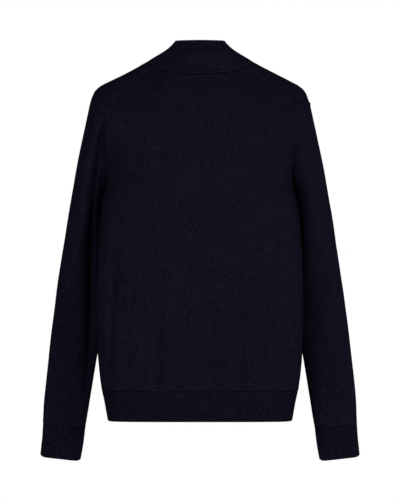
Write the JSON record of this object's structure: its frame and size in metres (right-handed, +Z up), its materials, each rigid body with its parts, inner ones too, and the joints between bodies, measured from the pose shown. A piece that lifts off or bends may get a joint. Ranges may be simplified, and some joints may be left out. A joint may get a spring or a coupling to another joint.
{
  "type": "quarter zip sweater",
  "caption": "Fine knit pullover in dark navy with a stand collar, a short front zip, saddle shoulders and ribbed hem and cuffs, filled out as worn.",
  "frame": {"origin": "midway between the two points where the collar meets the shoulders, at the height where the wearer's shoulders hold the sweater up", "axes": "+Z up the body to the collar, -Y out of the chest where the zip is, +Y out of the back, +X to the wearer's left"},
  "size_m": [0.6024, 0.228, 0.7916],
  "materials": {
    "jersey": "fine plain knit wool, matt with a soft nap",
    "rib": "fine one by one rib knit, matt",
    "tape": "woven zip tape",
    "zip_metal": "dark gunmetal, satin"
  },
  "bodies": {
    "garment": {"back": "jersey", "front": "jersey", "sleeve_left": "jersey", "sleeve_right": "jersey", "collar": "rib", "hem_back": "rib", "hem_front": "rib", "cuff_left": "rib", "cuff_right": "rib", "zip_tape_left": "tape", "zip_tape_right": "tape", "zip_chain": "zip_metal", "zip_bottom_stop": "zip_metal", "zip_slider": "zip_metal"},
    "pull_tab": {"zip_pull_tab": "zip_metal"}
  },
  "joints": [
    {"name": "pull_tab_hinge", "type": "hinge", "parent": "garment", "child": "pull_tab", "pos_m": [0, -0.06355, -0.01908], "axis": [-1, 0, 0], "range_deg": [0, 150]}
  ]
}
